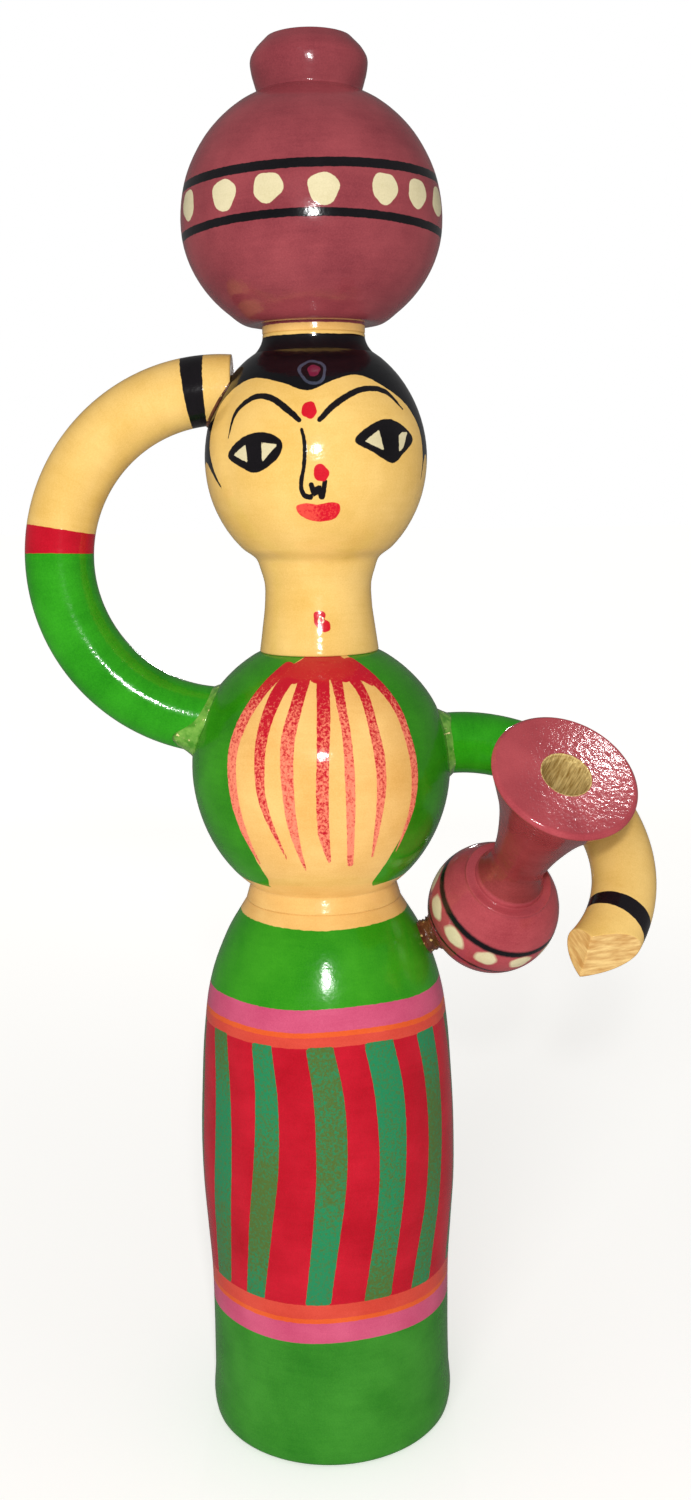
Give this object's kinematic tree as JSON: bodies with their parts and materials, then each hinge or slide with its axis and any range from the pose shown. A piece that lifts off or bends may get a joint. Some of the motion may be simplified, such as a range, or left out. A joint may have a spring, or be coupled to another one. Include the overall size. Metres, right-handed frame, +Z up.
{
  "type": "turned wooden water carrier doll",
  "caption": "Lathe-turned, lacquered wooden doll of a woman with a big pot on her head, one arm raised to steady it and the other bent round a small long-necked pot on her hip.",
  "frame": {"origin": "centre of the round base, on the surface that the doll stands on", "axes": "+Z up along the turned column, the face looks towards -Y, the raised arm is on the -X side and the hip pot on the +X side"},
  "size_m": [0.1323, 0.0737, 0.3004],
  "materials": {
    "skirt_lacquer": "glossy crimson lacquer with brushed green stripes and pink borders, on turned wood",
    "blouse_lacquer": "glossy green lacquer with a tan front panel and red strokes, on turned wood",
    "skin_lacquer": "glossy tan lacquer with a painted face and black hair, on turned wood",
    "sleeve_lacquer": "glossy green sleeve and tan forearm lacquer, on turned wood",
    "pot_lacquer": "glossy dusty rose lacquer with dark lines and cream dots, on turned wood",
    "bare_wood": "plain sanded wood",
    "iron_wire": "dull drawn iron wire",
    "dried_glue": "clear glossy dried glue, tinted by the lacquer under it"
  },
  "bodies": {
    "root": {"skirt": "skirt_lacquer", "torso": "blouse_lacquer", "head": "skin_lacquer", "water_pot": "pot_lacquer", "waist_dowel": "bare_wood", "neck_dowel": "bare_wood", "pot_dowel": "bare_wood", "raised_arm": "sleeve_lacquer", "raised_shoulder_pin": "iron_wire", "raised_shoulder_glue": "dried_glue", "lowered_arm": "sleeve_lacquer", "lowered_shoulder_pin": "iron_wire", "lowered_shoulder_glue": "dried_glue", "hip_pot": "pot_lacquer", "hip_pot_pin": "iron_wire", "hip_pot_glue": "dried_glue"}
  },
  "joints": []
}
